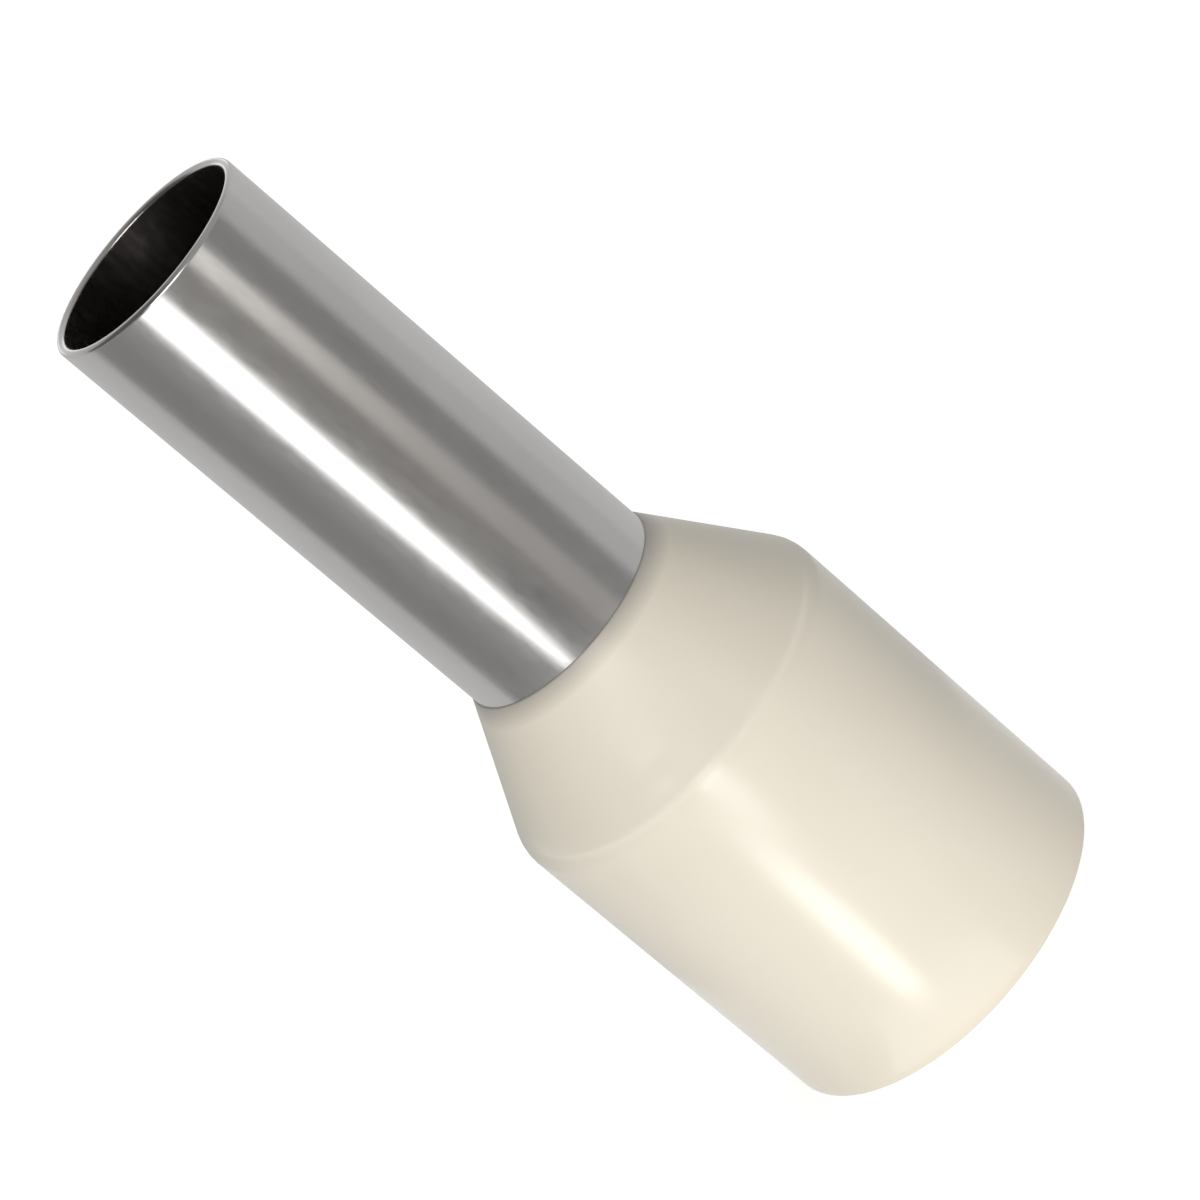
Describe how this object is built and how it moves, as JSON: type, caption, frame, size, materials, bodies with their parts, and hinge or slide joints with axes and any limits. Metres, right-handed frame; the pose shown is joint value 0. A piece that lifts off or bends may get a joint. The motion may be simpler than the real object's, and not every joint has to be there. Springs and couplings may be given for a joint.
{
  "type": "wire ferrule",
  "caption": "Insulated wire ferrule: a thin tin-plated copper sleeve held in an ivory moulded collar with a cone, for crimping on stranded wire.",
  "frame": {"origin": "centre of the collar's open rim, on which the ferrule stands", "axes": "+Z along the axis, from the collar's open end to the mouth of the metal sleeve; X and Y are free, as the ferrule is round"},
  "size_m": [0.0084, 0.0084, 0.0224],
  "materials": {
    "tinned_copper": "satin tin plating over copper",
    "ivory_plastic": "semi-gloss moulded polypropylene, ivory"
  },
  "bodies": {
    "root": {"metal_sleeve": "tinned_copper", "plastic_collar": "ivory_plastic"}
  },
  "joints": []
}
